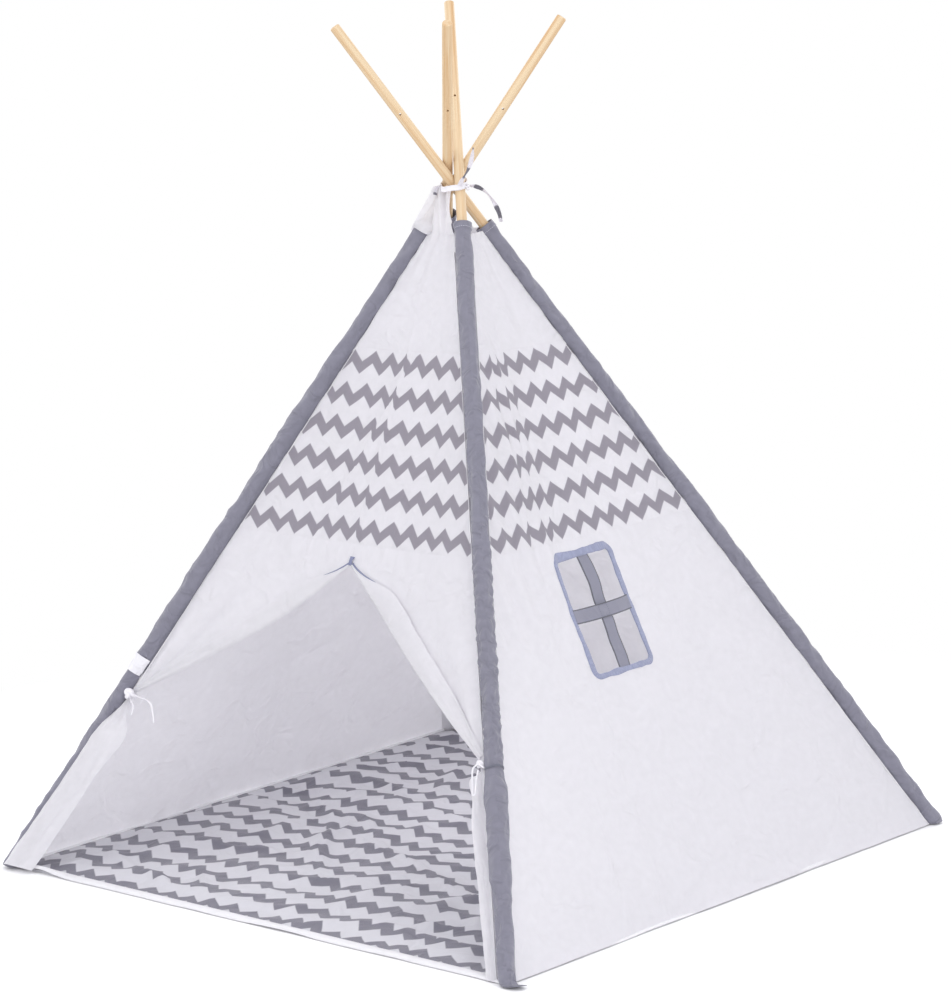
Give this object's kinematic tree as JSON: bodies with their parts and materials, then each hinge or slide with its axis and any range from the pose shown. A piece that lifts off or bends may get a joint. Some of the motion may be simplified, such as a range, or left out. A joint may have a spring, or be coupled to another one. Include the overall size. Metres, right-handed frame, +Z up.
{
  "type": "play teepee",
  "caption": "Child's square play teepee: four crossed wooden poles under a white cloth cover with chevron bands, a tied-back door, a cross-strapped window and a floor mat.",
  "frame": {"origin": "middle of the square base, on the floor", "axes": "+Z up; the door face looks along -Y and the window face along +X"},
  "size_m": [1.2128, 1.213, 1.5061],
  "materials": {
    "pine": "smooth sanded",
    "sleeve_cotton": "plain weave",
    "white_cotton": "plain weave",
    "chevron_cotton": "printed plain weave",
    "lavender_binding": "bias tape",
    "grey_webbing": "webbing",
    "mat_cotton": "printed plain weave",
    "tie_tape": "tape",
    "label_satin": "satin"
  },
  "bodies": {
    "floor": {"floor_mat": "mat_cotton"},
    "crown": {"crown_tie_band": "tie_tape", "crown_tie_tail_up": "tie_tape", "crown_tie_tail_right": "tie_tape", "crown_tie_end_left": "tie_tape", "crown_tongue": "white_cotton"},
    "leg_front": {"pole_front": "pine", "sleeve_front": "sleeve_cotton", "tie_back_right_band": "tie_tape"},
    "leg_right": {"pole_right": "pine", "sleeve_right": "sleeve_cotton"},
    "leg_back": {"pole_back": "pine", "sleeve_back": "sleeve_cotton"},
    "leg_left": {"pole_left": "pine", "sleeve_left": "sleeve_cotton", "care_tag": "label_satin"},
    "window_left": {"window_left_upper": "white_cotton", "window_left_band": "chevron_cotton", "window_left_lower": "white_cotton", "window_left_binding": "lavender_binding", "window_left_strap": "grey_webbing", "window_upright_strap": "grey_webbing"},
    "window_right": {"window_right_upper": "white_cotton", "window_right_band": "chevron_cotton", "window_right_lower": "white_cotton", "window_right_binding": "lavender_binding", "window_right_strap": "grey_webbing"},
    "rear_left": {"rear_left_upper": "white_cotton", "rear_left_band": "chevron_cotton", "rear_left_lower": "white_cotton"},
    "rear_right": {"rear_right_upper": "white_cotton", "rear_right_band": "chevron_cotton", "rear_right_lower": "white_cotton"},
    "side_left": {"side_left_upper": "white_cotton", "side_left_band": "chevron_cotton", "side_left_lower": "white_cotton"},
    "side_right": {"side_right_upper": "white_cotton", "side_right_band": "chevron_cotton", "side_right_lower": "white_cotton"},
    "door_left": {"door_left_upper": "white_cotton", "door_left_band": "chevron_cotton", "door_left_lower": "white_cotton", "door_left_tail": "white_cotton", "tie_back_left_wrap": "tie_tape", "tie_back_left_tail_long": "tie_tape", "tie_back_left_tail_short": "tie_tape"},
    "door_right": {"door_right_upper": "white_cotton", "door_right_band": "chevron_cotton", "door_right_lower": "white_cotton", "door_right_tail": "white_cotton", "door_peak_tab": "grey_webbing", "tie_back_right_loop": "tie_tape"},
    "flap_left": {"door_flap_left": "white_cotton"},
    "flap_right": {"door_flap_right": "white_cotton"}
  },
  "joints": [
    {"name": "crown_lift", "type": "slide", "parent": "floor", "child": "crown", "axis": [0, 0, 1], "range_m": [0, 0.38]},
    {"name": "pole_front_gather", "type": "hinge", "parent": "crown", "child": "leg_front", "pos_m": [0.02669, -0.01375, 1.2], "axis": [0.7071, 0.7071, 0], "range_deg": [0, 26]},
    {"name": "pole_right_gather", "type": "hinge", "parent": "crown", "child": "leg_right", "pos_m": [0.00647, -0.00647, 1.2], "axis": [-0.7071, 0.7071, 0], "range_deg": [0, 26]},
    {"name": "pole_back_gather", "type": "hinge", "parent": "crown", "child": "leg_back", "pos_m": [-0.02669, 0.01375, 1.2], "axis": [-0.7071, -0.7071, 0], "range_deg": [0, 26]},
    {"name": "pole_left_gather", "type": "hinge", "parent": "crown", "child": "leg_left", "pos_m": [-0.00647, 0.00647, 1.2], "axis": [0.7071, -0.7071, 0], "range_deg": [0, 26]},
    {"name": "window_left_turn", "type": "hinge", "parent": "leg_front", "child": "window_left", "pos_m": [0.02669, -0.01375, 1.2], "axis": [0.3907, -0.3996, -0.8293], "range_deg": [0, 72], "deforming": ["window_left_upper", "window_left_band", "window_left_lower", "window_left_binding", "window_left_strap", "window_upright_strap"]},
    {"name": "window_right_turn", "type": "hinge", "parent": "leg_right", "child": "window_right", "pos_m": [0.00647, -0.00647, 1.2], "axis": [-0.4002, -0.409, 0.8201], "range_deg": [0, 72], "deforming": ["window_right_upper", "window_right_band", "window_right_lower", "window_right_binding", "window_right_strap"]},
    {"name": "rear_left_turn", "type": "hinge", "parent": "leg_right", "child": "rear_left", "pos_m": [0.00647, -0.00647, 1.2], "axis": [0.4002, 0.409, -0.8201], "range_deg": [0, 72], "deforming": ["rear_left_upper", "rear_left_band", "rear_left_lower"]},
    {"name": "rear_right_turn", "type": "hinge", "parent": "leg_back", "child": "rear_right", "pos_m": [-0.02669, 0.01375, 1.2], "axis": [0.3907, -0.3996, 0.8293], "range_deg": [0, 72], "deforming": ["rear_right_upper", "rear_right_band", "rear_right_lower"]},
    {"name": "side_left_turn", "type": "hinge", "parent": "leg_back", "child": "side_left", "pos_m": [-0.02669, 0.01375, 1.2], "axis": [-0.3907, 0.3996, -0.8293], "range_deg": [0, 72], "deforming": ["side_left_upper", "side_left_band", "side_left_lower"]},
    {"name": "side_right_turn", "type": "hinge", "parent": "leg_left", "child": "side_right", "pos_m": [-0.00647, 0.00647, 1.2], "axis": [0.4002, 0.409, 0.8201], "range_deg": [0, 72], "deforming": ["side_right_upper", "side_right_band", "side_right_lower"]},
    {"name": "door_left_turn", "type": "hinge", "parent": "leg_left", "child": "door_left", "pos_m": [-0.00647, 0.00647, 1.2], "axis": [-0.4002, -0.409, -0.8201], "range_deg": [0, 72], "deforming": ["door_left_upper", "door_left_band", "door_left_lower", "door_flap_left"]},
    {"name": "door_right_turn", "type": "hinge", "parent": "leg_front", "child": "door_right", "pos_m": [0.02669, -0.01375, 1.2], "axis": [-0.3907, 0.3996, 0.8293], "range_deg": [0, 72], "deforming": ["door_right_upper", "door_right_band", "door_right_lower", "door_flap_right"]},
    {"name": "door_flap_left_turn", "type": "hinge", "parent": "door_left", "child": "flap_left", "pos_m": [-0.18819, -0.38193, 0.43511], "axis": [0.8173, 0.2497, 0.5193], "range_deg": [0, 155]},
    {"name": "door_flap_right_turn", "type": "hinge", "parent": "door_right", "child": "flap_right", "pos_m": [0.20202, -0.38041, 0.44321], "axis": [0.8123, -0.2608, -0.5217], "range_deg": [0, 155]}
  ],
  "couplings": [
    {"joint": "pole_front_gather", "follows": "crown_lift", "rad_per_m": 1.1941},
    {"joint": "pole_right_gather", "follows": "crown_lift", "rad_per_m": 1.1941},
    {"joint": "pole_back_gather", "follows": "crown_lift", "rad_per_m": 1.1941},
    {"joint": "pole_left_gather", "follows": "crown_lift", "rad_per_m": 1.1941},
    {"joint": "window_left_turn", "follows": "crown_lift", "rad_per_m": 3.2267},
    {"joint": "window_right_turn", "follows": "crown_lift", "rad_per_m": 3.2383},
    {"joint": "rear_left_turn", "follows": "crown_lift", "rad_per_m": 3.2229},
    {"joint": "rear_right_turn", "follows": "crown_lift", "rad_per_m": 3.2114},
    {"joint": "side_left_turn", "follows": "crown_lift", "rad_per_m": 3.2267},
    {"joint": "side_right_turn", "follows": "crown_lift", "rad_per_m": 3.2383},
    {"joint": "door_left_turn", "follows": "crown_lift", "rad_per_m": 3.2229},
    {"joint": "door_right_turn", "follows": "crown_lift", "rad_per_m": 3.2114}
  ]
}
